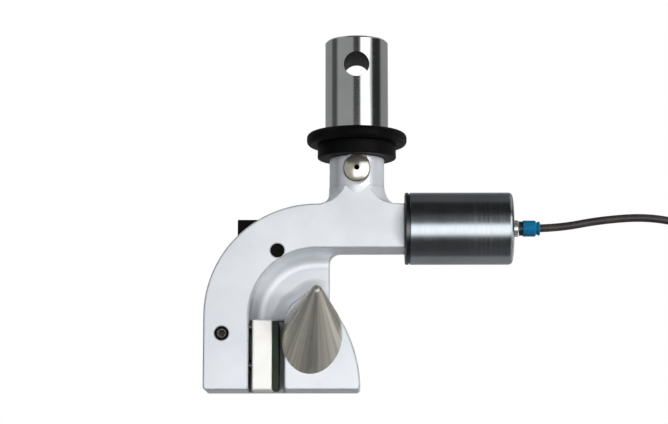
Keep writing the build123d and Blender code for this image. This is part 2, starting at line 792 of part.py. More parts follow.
with BuildPart() as jaw_guide_bush:
    with BuildSketch(Plane.YZ.offset(leg_inner_x)):
        with Locations((guide_side_y, guide_z)):
            Circle(guide_bush_dia / 2)
            Circle(guide_pin_dia / 2 + run_gap, mode=Mode.SUBTRACT)
    extrude(amount=-guide_pin_reach)
jaw_guide_bush.part.label = "jaw_guide_bush"
export_step(jaw_guide_bush.part, "parts/jaw_guide_bush.step")


return_seat_x = leg_inner_x - return_bore_wall
return_head_x = return_seat_x - return_spring_length
with BuildPart() as jaw_return_screw:
    cap_screw(
        (return_head_x - return_head_thick, guide_side_y, return_z),
        left,
        return_head_dia,
        return_head_thick,
        return_screw_dia,
        jaw_x + return_screw_grip - return_head_x,
    )
jaw_return_screw.part.label = "jaw_return_screw"
export_step(jaw_return_screw.part, "parts/jaw_return_screw.step")


def coil_spring(start, toward, length, outer_dia, wire_dia, turns):
    """A round-wire spring between two seats, its wire just clear of both."""
    wire = wire_dia / 2
    height = length - 2 * (wire + run_gap)
    place = Plane(origin=Vector(start) + Vector(toward) * (wire + run_gap), z_dir=toward)
    line = place.location * Helix(pitch=height / turns, height=height, radius=outer_dia / 2 - wire)
    section = Plane(origin=line @ 0, z_dir=line % 0) * Circle(wire)
    return sweep(section, path=line, is_frenet=True)


jaw_spring = coil_spring(
    (return_head_x, guide_side_y, return_z),
    right,
    return_spring_length,
    return_spring_dia,
    return_wire_dia,
    return_spring_turns,
)
jaw_spring.label = "jaw_return_spring"
export_step(jaw_spring, "parts/jaw_return_spring.step")


# Cylinder: front cap with a threaded nose, barrel, piston, rod and return spring
cap_ring_x = barrel_start_x + cap_spigot_length / 2
with BuildPart() as front_cap:
    with BuildSketch(Plane.XZ):
        with BuildLine():
            cap_r = barrel_dia / 2
            spigot_r = bore_dia / 2 - fixed_gap
            groove_half = cap_ring_groove / 2
            Polyline(
                (arm_end_x - nose_thread_length, rod_z),
                (arm_end_x - nose_thread_length, rod_z + nose_thread_dia / 2),
                (arm_end_x, rod_z + nose_thread_dia / 2),
                (arm_end_x, rod_z + cap_r),
                (arm_end_x + cap_flange, rod_z + cap_r),
                (arm_end_x + cap_flange, rod_z + cap_r - cap_groove),
                (barrel_start_x, rod_z + cap_r - cap_groove),
                (barrel_start_x, rod_z + spigot_r),
                (cap_ring_x - groove_half, rod_z + spigot_r),
                (cap_ring_x - groove_half, rod_z + spigot_r - cap_ring_dia),
                (cap_ring_x + groove_half, rod_z + spigot_r - cap_ring_dia),
                (cap_ring_x + groove_half, rod_z + spigot_r),
                (cap_spigot_x, rod_z + spigot_r),
                (cap_spigot_x, rod_z),
                close=True,
            )
        make_face()
    revolve(axis=rod_axis)
    rims = front_cap.edges().filter_by(GeomType.CIRCLE).group_by(lambda e: e.radius)[-1]
    chamfer(rims.sort_by(Axis.X)[0], length=edge_break)
    with Locations(Plane(origin=(cap_spigot_x, 0, rod_z), z_dir=right)):
        Hole(radius=rod_bush_dia / 2 + fixed_gap, depth=rod_bush_length)
        Hole(radius=rod_bore_dia / 2, depth=cap_spigot_x - arm_end_x + nose_thread_length)
front_cap.part.label = "front_cap"
export_step(front_cap.part, "parts/front_cap.step")


with BuildPart() as cap_o_ring:
    with BuildSketch(Plane.XZ):
        ring_r = cap_ring_dia / 2 - run_gap
        with Locations((cap_ring_x, rod_z + bore_dia / 2 - cap_ring_dia / 2 - fixed_gap)):
            Circle(ring_r)
    revolve(axis=rod_axis)
cap_o_ring.part.label = "cap_o_ring"
export_step(cap_o_ring.part, "parts/cap_o_ring.step")


for bush_name, bush_x in (
    ("rod_guide_bush", slot_end_x),
    ("rod_front_bush", cap_spigot_x - rod_bush_length),
):
    with BuildPart() as rod_bush:
        with BuildSketch(Plane.YZ.offset(bush_x)):
            with Locations((0, rod_z)):
                Circle(rod_bush_dia / 2)
                Circle(rod_dia / 2 + run_gap, mode=Mode.SUBTRACT)
        extrude(amount=rod_bush_length)
    rod_bush.part.label = bush_name
    export_step(rod_bush.part, f"parts/{bush_name}.step")


with BuildPart() as cylinder_barrel:
    with BuildSketch(Plane.XZ):
        with BuildLine():
            Polyline(
                (barrel_start_x, rod_z + bore_dia / 2),
                (barrel_start_x, rod_z + barrel_dia / 2),
                (barrel_end_x, rod_z + barrel_dia / 2),
                (barrel_end_x, rod_z),
                (bore_end_x, rod_z),
                (bore_end_x, rod_z + bore_dia / 2),
                close=True,
            )
        make_face()
    revolve(axis=rod_axis)
    rims = cylinder_barrel.edges().filter_by(GeomType.CIRCLE).group_by(lambda e: e.radius)[-1]
    fillet(rims.sort_by(Axis.X)[-1], radius=rear_round)
    chamfer(rims.sort_by(Axis.X)[0], length=edge_break / 2)
    with Locations(Plane(origin=(barrel_end_x, 0, rod_z), z_dir=right)):
        Hole(radius=port_dia / 2 + fixed_gap, depth=rear_wall)
cylinder_barrel.part.label = "cylinder_barrel"
export_step(cylinder_barrel.part, "parts/cylinder_barrel.step")


seal_x = piston_start_x + seal_place
guide_ring_x = piston_start_x + guide_ring_place
piston_r = bore_dia / 2 - piston_running
with BuildPart() as piston:
    with Locations(Plane(origin=(piston_start_x, 0, rod_z), z_dir=right)):
        Cylinder(piston_r, piston_width, align=(Align.CENTER, Align.CENTER, Align.MIN))
    for groove_x, groove_width, groove_depth in (
        (seal_x - run_gap, seal_width + 2 * run_gap, seal_depth),
        (guide_ring_x - run_gap, guide_ring_width + 2 * run_gap, guide_ring_depth),
    ):
        with BuildSketch(Plane.YZ.offset(groove_x)):
            with Locations((0, rod_z)):
                Circle(piston_r + cut_past)
                Circle(piston_r - groove_depth, mode=Mode.SUBTRACT)
        extrude(amount=groove_width, mode=Mode.SUBTRACT)
    with Locations(Plane(origin=(piston_end_x, 0, rod_z), z_dir=right)):
        CounterBoreHole(
            radius=rod_stud_dia / 2 + fixed_gap,
            counter_bore_radius=piston_nut_flats / math.sqrt(3) + side_gap,
            counter_bore_depth=piston_nut_thick + side_gap,
            depth=piston_width,
        )
piston.part.label = "piston"
export_step(piston.part, "parts/piston.step")


for ring_name, ring_x, ring_width, ring_depth in (
    ("piston_seal", seal_x, seal_width, seal_depth),
    ("piston_guide_ring", guide_ring_x, guide_ring_width, guide_ring_depth),
):
    with BuildPart() as ring:
        with BuildSketch(Plane.YZ.offset(ring_x)):
            with Locations((0, rod_z)):
                Circle(bore_dia / 2 - run_gap)
                Circle(piston_r - ring_depth + fixed_gap, mode=Mode.SUBTRACT)
        extrude(amount=ring_width)
    ring.part.label = ring_name
    export_step(ring.part, f"parts/{ring_name}.step")


with BuildPart() as piston_nut:
    with BuildSketch(Plane.YZ.offset(piston_end_x - side_gap)):
        with Locations((0, rod_z)):
            RegularPolygon(piston_nut_flats / 2, 6, major_radius=False)
            Circle(rod_stud_dia / 2 + fixed_gap, mode=Mode.SUBTRACT)
    extrude(amount=-piston_nut_thick)
piston_nut.part.label = "piston_nut"
export_step(piston_nut.part, "parts/piston_nut.step")


with BuildPart() as piston_rod:
    with BuildSketch(Plane.XZ):
        with BuildLine():
            tip_dome = rod_tip_round - math.sqrt(rod_tip_round**2 - (rod_dia / 2) ** 2)
            tip_turn = math.degrees(math.asin(rod_dia / 2 / rod_tip_round))
            CenterArc((rod_tip_x + rod_tip_round, rod_z), rod_tip_round, 180, -tip_turn)
            Polyline(
                (rod_tip_x + tip_dome, rod_z + rod_dia / 2),
                (piston_start_x, rod_z + rod_dia / 2),
                (piston_start_x, rod_z + rod_stud_dia / 2),
                (piston_end_x - side_gap, rod_z + rod_stud_dia / 2),
                (piston_end_x - side_gap, rod_z),
                (rod_tip_x, rod_z),
            )
        make_face()
    revolve(axis=rod_axis)
piston_rod.part.label = "piston_rod"
export_step(piston_rod.part, "parts/piston_rod.step")


main_spring = coil_spring(
    (cap_spigot_x, 0, rod_z),
    right,
    piston_start_x - cap_spigot_x,
    main_spring_dia,
    main_wire_dia,
    main_spring_turns,
)
main_spring.label = "piston_return_spring"
export_step(main_spring, "parts/piston_return_spring.step")


# Push-in air fitting on the cylinder's rear end
base_end_x = barrel_end_x + fitting_base_length
sleeve_x = base_end_x + fitting_ring_thick
sleeve_end_x = sleeve_x + fitting_sleeve_length
collar_end_x = sleeve_end_x + collar_out
hose_start_x = collar_end_x - hose_seat
hose_hole_r = hose_dia / 2 + side_gap
with BuildPart() as fitting_base:
    with BuildSketch(Plane.XZ):
        with BuildLine():
            Polyline(
                (barrel_end_x - port_depth, rod_z),
                (barrel_end_x - port_depth, rod_z + port_dia / 2),
                (barrel_end_x, rod_z + port_dia / 2),
                (barrel_end_x, rod_z + fitting_base_dia / 2),
                (base_end_x - edge_break, rod_z + fitting_base_dia / 2),
                (base_end_x, rod_z + fitting_base_dia / 2 - edge_break),
                (base_end_x, rod_z),
                close=True,
            )
        make_face()
    revolve(axis=rod_axis)
    with Locations(Plane(origin=(base_end_x, 0, rod_z), z_dir=right)):
        Hole(radius=fitting_bore_dia / 2, depth=port_depth + fitting_base_length)
fitting_base.part.label = "fitting_base"
export_step(fitting_base.part, "parts/fitting_base.step")


with BuildPart() as fitting_ring:
    with BuildSketch(Plane.YZ.offset(base_end_x)):
        with Locations((0, rod_z)):
            Circle(fitting_ring_dia / 2)
            Circle(fitting_bore_dia / 2, mode=Mode.SUBTRACT)
    extrude(amount=fitting_ring_thick)
fitting_ring.part.label = "fitting_ring"
export_step(fitting_ring.part, "parts/fitting_ring.step")


with BuildPart() as fitting_sleeve:
    with BuildSketch(Plane.YZ.offset(sleeve_x)):
        with Locations((0, rod_z)):
            Circle(fitting_sleeve_dia / 2)
            Circle(hose_dia / 2 + fixed_gap, mode=Mode.SUBTRACT)
    extrude(amount=fitting_sleeve_length)
    rims = fitting_sleeve.edges().filter_by(GeomType.CIRCLE).group_by(lambda e: e.radius)[-1]
    chamfer(rims.sort_by(Axis.X)[-1], length=edge_break)
    with Locations(Plane(origin=(sleeve_end_x, 0, rod_z), z_dir=right)):
        Hole(radius=collar_wall_dia / 2 + run_gap, depth=collar_depth + collar_travel + side_gap)
fitting_sleeve.part.label = "fitting_sleeve"
export_step(fitting_sleeve.part, "parts/fitting_sleeve.step")


# Release collar: a flange outside the sleeve and a thin tube inside it
with BuildPart() as release_collar:
    with BuildSketch(Plane.XZ):
        with BuildLine():
            flange_x = collar_end_x - collar_out + collar_travel
            Polyline(
                (sleeve_end_x - collar_depth, rod_z + hose_hole_r),
                (sleeve_end_x - collar_depth, rod_z + collar_wall_dia / 2),
                (flange_x, rod_z + collar_wall_dia / 2),
                (flange_x, rod_z + collar_dia / 2),
                (collar_end_x - edge_break / 2, rod_z + collar_dia / 2),
                (collar_end_x, rod_z + collar_dia / 2 - edge_break / 2),
                (collar_end_x, rod_z + hose_hole_r),
                close=True,
            )
        make_face()
    revolve(axis=rod_axis)
release_collar.part.label = "release_collar"
export_step(release_collar.part, "parts/release_collar.step")


# Air hose: it leaves the fitting with a slight rise, bends down and joins its coil
hose_join_x = coil_x + coil_radius
hose_points = [
    (hose_start_x, 0, rod_z),
    (100.0, 0, rod_z),
    (123.0, 0, -76.9),
    (148.0, 0, -75.4),
    (171.0, 0, -81.0),
    (190.0, 0, -93.6),
    (203.5, 0, -111.0),
    (209.8, 0, -131.0),
    (hose_join_x, 0, coil_z),
]
tail_points = [
    (hose_join_x, tail_side_y, coil_z),
    (hose_join_x + 0.6, tail_side_y, coil_z - tail_drop * 0.5),
    (hose_join_x, tail_side_y, coil_z - tail_drop),
]


def corner_radii(points):
    """Each corner's radius: 0.45 of its shorter run, over the tangent of half its turn."""
    radii = []
    for before, at, after in zip(points, points[1:], points[2:]):
        run_in = Vector(at) - Vector(before)
        run_out = Vector(after) - Vector(at)
        half_turn = math.radians(run_in.get_angle(run_out)) / 2
        radii.append(0.45 * min(run_in.length, run_out.length) / math.tan(half_turn))
    return radii


for tube_name, tube_points in (("air_hose", hose_points), ("hose_tail", tail_points)):
    radii = corner_radii(tube_points)
    print(tube_name, "radii", [round(r, 1) for r in radii])
    with BuildPart() as hose:
        with BuildLine() as hose_line:
            FilletPolyline(*tube_points, radius=radii)
        with BuildSketch(hose_line.line ^ 0):
            Circle(hose_dia / 2)
        sweep()
    tube_length = sum(edge.length for edge in hose_line.edges())
    tube_section = math.pi * hose_dia**2 / 4
    print(tube_name, "length", round(tube_length, 1), "volume", round(hose.part.volume, 1))
    print(tube_name, "section by length", round(tube_section * tube_length, 1))
    hose.part.label = tube_name
    export_step(hose.part, f"parts/{tube_name}.step")


with BuildPart() as hose_coil:
    with BuildSketch(Plane.XY.offset(coil_z)):
        with Locations((coil_x + coil_radius, 0)):
            Circle(coil_section)
    revolve(axis=Axis((coil_x, 0, coil_z), back))
hose_coil.part.label = "hose_coil"
export_step(hose_coil.part, "parts/hose_coil.step")


# Tie round the coil's turns, and the plug on the hose's far end
with BuildPart() as hose_tie:
    with BuildSketch(Plane.YZ.offset(coil_x)):
        with Locations((0, coil_z + coil_radius)):
            Circle(coil_section + side_gap + tie_wall)
            Circle(coil_section + side_gap, mode=Mode.SUBTRACT)
    extrude(amount=tie_width / 2, both=True)
hose_tie.part.label = "hose_tie"
export_step(hose_tie.part, "parts/hose_tie.step")


tail_end = Vector(tail_points[-1])
tail_line = (tail_end - Vector(tail_points[-2])).normalized()
with BuildPart() as hose_plug:
    with BuildSketch(Plane(origin=tail_end, x_dir=tail_line.cross(Vector(back)), z_dir=back)):
        with BuildLine():
            body_r = plug_dia / 2
            stem_r = plug_stem_dia / 2
            body_length = plug_length - plug_stem_length
            Polyline(
                (0, 0),
                (body_r - edge_break, 0),
                (body_r, edge_break),
                (body_r, body_length),
                (stem_r, body_length),
                (stem_r, plug_length - edge_break),
                (stem_r - edge_break, plug_length),
                (0, plug_length),
                close=True,
            )
        make_face()
    revolve(axis=Axis(tail_end, tail_line))
hose_plug.part.label = "hose_plug"
export_step(hose_plug.part, "parts/hose_plug.step")
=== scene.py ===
import math

import bpy
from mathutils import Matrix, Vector


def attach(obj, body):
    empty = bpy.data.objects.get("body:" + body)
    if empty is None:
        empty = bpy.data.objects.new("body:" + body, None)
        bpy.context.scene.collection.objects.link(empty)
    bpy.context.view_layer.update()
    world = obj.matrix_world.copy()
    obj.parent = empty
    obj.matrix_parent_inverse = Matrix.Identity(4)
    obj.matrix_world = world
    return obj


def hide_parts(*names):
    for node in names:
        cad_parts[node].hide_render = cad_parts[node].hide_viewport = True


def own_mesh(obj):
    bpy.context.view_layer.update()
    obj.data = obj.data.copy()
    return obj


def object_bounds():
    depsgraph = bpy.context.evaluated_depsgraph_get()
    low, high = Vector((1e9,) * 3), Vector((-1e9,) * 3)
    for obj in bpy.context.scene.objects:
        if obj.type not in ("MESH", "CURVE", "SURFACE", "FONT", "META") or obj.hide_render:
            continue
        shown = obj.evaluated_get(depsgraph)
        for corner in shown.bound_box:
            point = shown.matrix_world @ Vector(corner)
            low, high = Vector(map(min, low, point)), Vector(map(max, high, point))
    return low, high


# Pneumatic cord grip for a tensile tester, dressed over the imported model. Metres, +Z up, front -Y.

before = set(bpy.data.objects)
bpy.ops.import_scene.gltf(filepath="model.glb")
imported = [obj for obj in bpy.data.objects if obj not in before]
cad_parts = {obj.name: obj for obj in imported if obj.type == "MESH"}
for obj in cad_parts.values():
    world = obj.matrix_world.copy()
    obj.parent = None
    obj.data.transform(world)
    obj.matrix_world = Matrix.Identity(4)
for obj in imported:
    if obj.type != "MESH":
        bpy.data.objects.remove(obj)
cad_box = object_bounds()

# Places on the grip
GRIP_MIDDLE_Z = -0.09
CONE_APEX = (-0.019, -0.0401, -0.1128)
COUPLING_X, COUPLING_Z = 0.0, -0.0525
FULCRUM_X, FULCRUM_Z = -0.0667, -0.1350
NECK_FOOT_Z = -0.0625
THREAD_TOP_Z = -0.0328
CROSS_BORE_RADIUS = 0.0064
CENTRE_DRILL_RADIUS = 0.0013
FULCRUM_SOCKET_RADIUS = 0.0021


# Camera: in front of the grip and below its arm, tilted up at it
CAMERA_PLACE = Vector((0.0, -1.020, -0.2372))
CAMERA_LOOKS_AT = Vector((-0.0115, 0.0, -0.0727))

camera_data = bpy.data.cameras.new("camera")
camera_data.lens = 110.8
camera_data.sensor_width = 36.0
camera_data.clip_start = 0.05
camera_data.clip_end = 50.0
camera = bpy.data.objects.new("camera", camera_data)
bpy.context.scene.collection.objects.link(camera)
camera.location = CAMERA_PLACE
camera.rotation_mode = "QUATERNION"
camera.rotation_quaternion = (CAMERA_LOOKS_AT - CAMERA_PLACE).to_track_quat("-Z", "Y")
bpy.context.scene.camera = camera


# Air hose: out of the fitting, down to its coil, round the coil and into the plug
HOSE_DIAMETER = 0.004
COIL_X = 0.189
COIL_Z = -0.152
COIL_RADIUS = 0.022
COIL_TURNS = 6
POINTS_A_TURN = 16
RING_RADIUS = 0.0044  # from the middle turn to the turns that lie round it
RING_START = -90  # degrees, where the first outer turn lies
RING_STEP = 60  # degrees from turn to turn
TAIL_Y = -0.0042

hose_route = [
    (0.0846, 0.0, -0.0813),
    (0.1000, 0.0, -0.0813),
    (0.1230, 0.0, -0.0769),
    (0.1480, 0.0, -0.0754),
    (0.1710, 0.0, -0.0810),
    (0.1900, 0.0, -0.0936),
    (0.2035, 0.0, -0.1110),
    (0.2098, 0.0, -0.1310),
    (COIL_X + COIL_RADIUS, 0.0, COIL_Z),
]
tail_route = [
    (0.2116, TAIL_Y, -0.1690),
    (0.2110, TAIL_Y, -0.1860),
]


def coil_point(turn, share):
    """A control point of the coil: the first turn starts in the middle, the others lie round it."""
    spot = math.radians(RING_START + RING_STEP * (turn + share))
    out = RING_RADIUS
    if turn == 0:
        out = RING_RADIUS * max(0.0, (share - 0.5) / 0.5)
    cut_corner = math.cos(math.pi / POINTS_A_TURN)
    radius = COIL_RADIUS / cut_corner + out * math.cos(spot)
    angle = -2 * math.pi * share
    return (
        COIL_X + radius * math.cos(angle),
        out * math.sin(spot),
        COIL_Z + radius * math.sin(angle),
    )


coil_route = []
for turn in range(COIL_TURNS):
    for step in range(1, POINTS_A_TURN + 1):
        coil_route.append(coil_point(turn, step / POINTS_A_TURN))

hose_points = hose_route + coil_route + tail_route
hose_curve = bpy.data.curves.new("hose", "CURVE")
hose_curve.dimensions = "3D"
hose_curve.bevel_depth = 1.0  # times each point's radius
hose_curve.bevel_resolution = 6
hose_curve.resolution_u = 8
hose_curve.use_fill_caps = True
spline = hose_curve.splines.new("NURBS")
spline.points.add(len(hose_points) - 1)
for point, place in zip(spline.points, hose_points):
    point.co = (*place, 1.0)
    point.radius = HOSE_DIAMETER / 2
spline.order_u = 3
spline.use_endpoint_u = True
hose = bpy.data.objects.new("hose", hose_curve)
bpy.context.scene.collection.objects.link(hose)
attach(hose, "grip")
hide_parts("air_hose", "hose_coil", "hose_tail")


# Return springs: pieces of their own, copied from the CAD coils
def shortening_spring(node):
    """The node's coil, copied as a piece of its own in place of the CAD one."""
    spring = bpy.data.objects.new(node + "_coil", bpy.data.objects[node].data.copy())
    bpy.context.scene.collection.objects.link(spring)
    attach(spring, "grip")
    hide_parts(node)
    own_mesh(spring)
    return spring


springs = [
    shortening_spring("piston_return_spring"),
    shortening_spring("jaw_return_spring"),
]


# Node helpers for the materials and the world
NOISE_LOW, NOISE_HIGH = 0.3, 0.7  # nearly all of a noise texture lies between these
EDGE_DOT = 0.86  # bevelled normal against face normal, in the middle of an edge
CORNER_SHADE_FULL = 0.15  # occlusion at which a corner is as dark as it gets
MASK_SOFT = 0.00002  # half the soft edge of a round mask


def new_material(name):
    material = bpy.data.materials.new(name)
    material.use_nodes = True
    tree = material.node_tree
    shader = tree.nodes["Principled BSDF"]
    return material, tree, shader


def object_space(tree, scale=(1.0, 1.0, 1.0), location=(0.0, 0.0, 0.0)):
    """Object coordinates in metres, multiplied by scale along each axis, then moved."""
    coords = tree.nodes.new("ShaderNodeTexCoord")
    mapping = tree.nodes.new("ShaderNodeMapping")
    mapping.inputs["Location"].default_value = location
    mapping.inputs["Scale"].default_value = scale
    tree.links.new(coords.outputs["Object"], mapping.inputs["Vector"])
    return mapping.outputs["Vector"]


def object_height(tree):
    axes = tree.nodes.new("ShaderNodeSeparateXYZ")
    tree.links.new(object_space(tree), axes.inputs["Vector"])
    return axes.outputs["Z"]


def noise(tree, vector, scale, detail=3.0):
    node = tree.nodes.new("ShaderNodeTexNoise")
    node.inputs["Scale"].default_value = scale
    node.inputs["Detail"].default_value = detail
    node.inputs["Roughness"].default_value = 0.55
    tree.links.new(vector, node.inputs["Vector"])
    return node.outputs["Fac"]


def spread(tree, value, from_low, from_high, to_low, to_high):
    """A value's range mapped on another range."""
    node = tree.nodes.new("ShaderNodeMapRange")
    node.inputs["From Min"].default_value = from_low
    node.inputs["From Max"].default_value = from_high
    node.inputs["To Min"].default_value = to_low
    node.inputs["To Max"].default_value = to_high
    tree.links.new(value, node.inputs["Value"])
    return node.outputs["Result"]


def vary(tree, texture, low, high):
    """A noise texture's values, spread from low to high."""
    return spread(tree, texture, NOISE_LOW, NOISE_HIGH, low, high)


def combine(tree, operation, first, second):
    node = tree.nodes.new("ShaderNodeMath")
    node.operation = operation
    tree.links.new(first, node.inputs[0])
    tree.links.new(second, node.inputs[1])
    return node.outputs["Value"]


def colour_between(tree, share, first, second):
    """A colour between two, by a share that varies over the surface."""
    ramp = tree.nodes.new("ShaderNodeValToRGB")
    ramp.color_ramp.elements[0].color = (*first, 1.0)
    ramp.color_ramp.elements[1].color = (*second, 1.0)
    tree.links.new(share, ramp.inputs["Fac"])
    return ramp.outputs["Color"]


def over(tree, share, below, colour):
    """A colour laid over another where share is high."""
    mix = tree.nodes.new("ShaderNodeMix")
    mix.data_type = "RGBA"
    mix.inputs["B"].default_value = (*colour, 1.0)
    tree.links.new(share, mix.inputs["Factor"])
    tree.links.new(below, mix.inputs["A"])
    return mix.outputs["Result"]


def rough_over(tree, share, below, rough):
    """A roughness that takes the place of another where share is high."""
    mix = tree.nodes.new("ShaderNodeMix")
    mix.inputs["B"].default_value = rough
    tree.links.new(share, mix.inputs["Factor"])
    tree.links.new(below, mix.inputs["A"])
    return mix.outputs["Result"]


def edge_mask(tree, radius, strength):
    """High on the edges: the bevelled normal differs there from the face's own."""
    bevel = tree.nodes.new("ShaderNodeBevel")
    bevel.samples = 4
    bevel.inputs["Radius"].default_value = radius
    geometry = tree.nodes.new("ShaderNodeNewGeometry")
    dot = tree.nodes.new("ShaderNodeVectorMath")
    dot.operation = "DOT_PRODUCT"
    tree.links.new(bevel.outputs["Normal"], dot.inputs[0])
    tree.links.new(geometry.outputs["Normal"], dot.inputs[1])
    return spread(tree, dot.outputs["Value"], 1.0, EDGE_DOT, 0.0, strength)


def corner_shade_mask(tree, reach, strength, start):
    """Painted shade: high in gaps and inner corners, by ambient occlusion."""
    occlusion = tree.nodes.new("ShaderNodeAmbientOcclusion")
    occlusion.samples = 6
    occlusion.inputs["Distance"].default_value = reach
    return spread(tree, occlusion.outputs["AO"], start, CORNER_SHADE_FULL, 0.0, strength)


def near_cross_axis(tree, x, z, radius):
    """1 within radius of a line that runs front to back through x and z."""
    length = tree.nodes.new("ShaderNodeVectorMath")
    length.operation = "LENGTH"
    from_axis = object_space(tree, (1.0, 0.0, 1.0), (-x, 0.0, -z))
    tree.links.new(from_axis, length.inputs[0])
    return spread(tree, length.outputs["Value"], radius - MASK_SOFT, radius + MASK_SOFT, 1.0, 0.0)


def bumped(tree, height, depth, below=None):
    """The surface's normal with a relief, over the relief below."""
    node = tree.nodes.new("ShaderNodeBump")
    node.inputs["Distance"].default_value = depth
    tree.links.new(height, node.inputs["Height"])
    if below is not None:
        tree.links.new(below, node.inputs["Normal"])
    return node.outputs["Normal"]


# Materials. Each kind of surface has clouds in its colour, grain or rings in its roughness and
# relief;
# some have painted shade in corners and in a drill hole, painted dark reflections on edges, darker
# jaw plate edges and a grey fulcrum pin end.
BODY_DARK = (0.670, 0.695, 0.730)
BODY_LIGHT = (0.785, 0.805, 0.835)
# Painted dark reflection for the body's edges
BODY_EDGE_REFLECTION = (0.08, 0.085, 0.09)
# Painted shade for the body's gaps and inner corners
BODY_CORNER_SHADE = (0.10, 0.10, 0.10)
SHANK_DARK = (0.66, 0.67, 0.66)
SHANK_LIGHT = (0.76, 0.76, 0.74)
# Painted shade for the shank's cross bore, also the dark colour of the thread below the washer
SHANK_BORE_SHADE_AND_THREAD = (0.030, 0.028, 0.024)
CONE_DARK = (0.38, 0.365, 0.31)
CONE_LIGHT = (0.68, 0.645, 0.575)
BLACK_DARK = (0.001, 0.001, 0.001)
BLACK_LIGHT = (0.005, 0.005, 0.004)
BLACK_GLOSS = 0.07


def satin_aluminium():
    """Milled and clear anodised: cloudy blue-grey, milling lines, a finer turned neck."""
    material, tree, shader = new_material("satin_aluminium")
    plain = object_space(tree)
    clouds = noise(tree, plain, 34.0, detail=4.0)
    grain = noise(tree, plain, 1500.0, detail=2.0)
    lines = noise(tree, object_space(tree, (1.0, 1.0, 7.0)), 420.0, detail=2.0)
    height = object_height(tree)

    # Painted dark reflection on the edges, weaker where the neck runs out into the milled flare
    base = colour_between(tree, vary(tree, clouds, 0.0, 1.0), BODY_DARK, BODY_LIGHT)
    below_neck = spread(tree, height, NECK_FOOT_Z - 0.006, NECK_FOOT_Z - 0.004, 1.0, 0.25)
    painted_edge_reflection = combine(tree, "MULTIPLY", edge_mask(tree, 0.0012, 0.95), below_neck)
    base = over(tree, painted_edge_reflection, base, BODY_EDGE_REFLECTION)
    # Painted shade in the body's gaps and inner corners, by ambient occlusion
    for reach, strength, start in ((0.022, 0.75, 0.52), (0.007, 0.70, 0.60)):
        base = over(tree, corner_shade_mask(tree, reach, strength, start), base, BODY_CORNER_SHADE)
    tree.links.new(base, shader.inputs["Base Color"])

    on_neck = spread(tree, height, NECK_FOOT_Z, NECK_FOOT_Z + 0.002, 0.0, 1.0)
    roughness = rough_over(tree, on_neck, vary(tree, clouds, 0.33, 0.43), 0.32)
    tree.links.new(roughness, shader.inputs["Roughness"])
    shader.inputs["Metallic"].default_value = 0.60
    relief = bumped(tree, grain, 0.00002, below=bumped(tree, lines, 0.00003))
    tree.links.new(relief, shader.inputs["Normal"])
    return material


def turned_base(tree, dark, light, edge_colour=None):
    """Cloudy colour for a turned surface, with a painted dark reflection on the edges where an edge
    colour is given.
    """
    clouds = noise(tree, object_space(tree), 60.0, detail=4.0)
    base = colour_between(tree, vary(tree, clouds, 0.0, 1.0), dark, light)
    if edge_colour is not None:
        base = over(tree, edge_mask(tree, 0.0006, 0.7), base, edge_colour)
    return base


def turned_rings(tree, along, scale):
    """Fine rings across the turned axis."""
    stretch = [0.004, 0.004, 0.004]
    stretch["XYZ".index(along)] = 1.0
    return noise(tree, object_space(tree, stretch), scale)


def turned(
    name, dark, light, metallic, rough, along,
    scale=900.0, depth=0.00001, edge_colour=None, gloss=0.5,
):
    material, tree, shader = new_material(name)
    rings = turned_rings(tree, along, scale)
    tree.links.new(turned_base(tree, dark, light, edge_colour), shader.inputs["Base Color"])
    tree.links.new(vary(tree, rings, rough * 0.85, rough * 1.15), shader.inputs["Roughness"])
    shader.inputs["Metallic"].default_value = metallic
    shader.inputs["Specular IOR Level"].default_value = gloss
    tree.links.new(bumped(tree, rings, depth), shader.inputs["Normal"])
    return material


def shank_steel():
    """Polished steel; the cross bore dark with painted shade, the thread below the washer dark, both
    rough.
    """
    material, tree, shader = new_material("shank_steel")
    rings = turned_rings(tree, "Z", 1100.0)
    base = turned_base(tree, SHANK_DARK, SHANK_LIGHT)
    height = object_height(tree)
    on_thread = spread(tree, height, THREAD_TOP_Z - 0.0001, THREAD_TOP_Z, 1.0, 0.0)
    in_bore = near_cross_axis(tree, 0.0, 0.0, CROSS_BORE_RADIUS)
    # Painted shade in the cross bore; the thread below the washer dark as well
    bore_shade_and_thread = combine(tree, "MAXIMUM", in_bore, on_thread)
    tree.links.new(over(tree, bore_shade_and_thread, base, SHANK_BORE_SHADE_AND_THREAD), shader.inputs["Base Color"])
    roughness = rough_over(tree, bore_shade_and_thread, vary(tree, rings, 0.11, 0.16), 0.55)
    tree.links.new(roughness, shader.inputs["Roughness"])
    shader.inputs["Metallic"].default_value = 1.0
    tree.links.new(bumped(tree, rings, 0.000004), shader.inputs["Normal"])
    return material


def ground(
    name, dark, light, metallic, rough,
    scale=1000.0, depth=0.00001, edge_colour=None, gloss=0.5, spot=None,
):
    """A ground, moulded or plated surface: grain, cloudy colour and roughness, and where given,
    edges of another colour and a round spot.
    """
    material, tree, shader = new_material(name)
    plain = object_space(tree)
    clouds = noise(tree, plain, 90.0, detail=4.0)
    grain = noise(tree, plain, scale, detail=2.0)
    base = colour_between(tree, vary(tree, clouds, 0.0, 1.0), dark, light)
    if edge_colour is not None:
        base = over(tree, edge_mask(tree, 0.0005, 0.6), base, edge_colour)
    if spot is not None:
        spot_x, spot_z, spot_radius, spot_colour = spot
        base = over(tree, near_cross_axis(tree, spot_x, spot_z, spot_radius), base, spot_colour)
    tree.links.new(base, shader.inputs["Base Color"])
    tree.links.new(vary(tree, grain, rough * 0.85, rough * 1.15), shader.inputs["Roughness"])
    shader.inputs["Metallic"].default_value = metallic
    shader.inputs["Specular IOR Level"].default_value = gloss
    tree.links.new(bumped(tree, grain, depth), shader.inputs["Normal"])
    return material


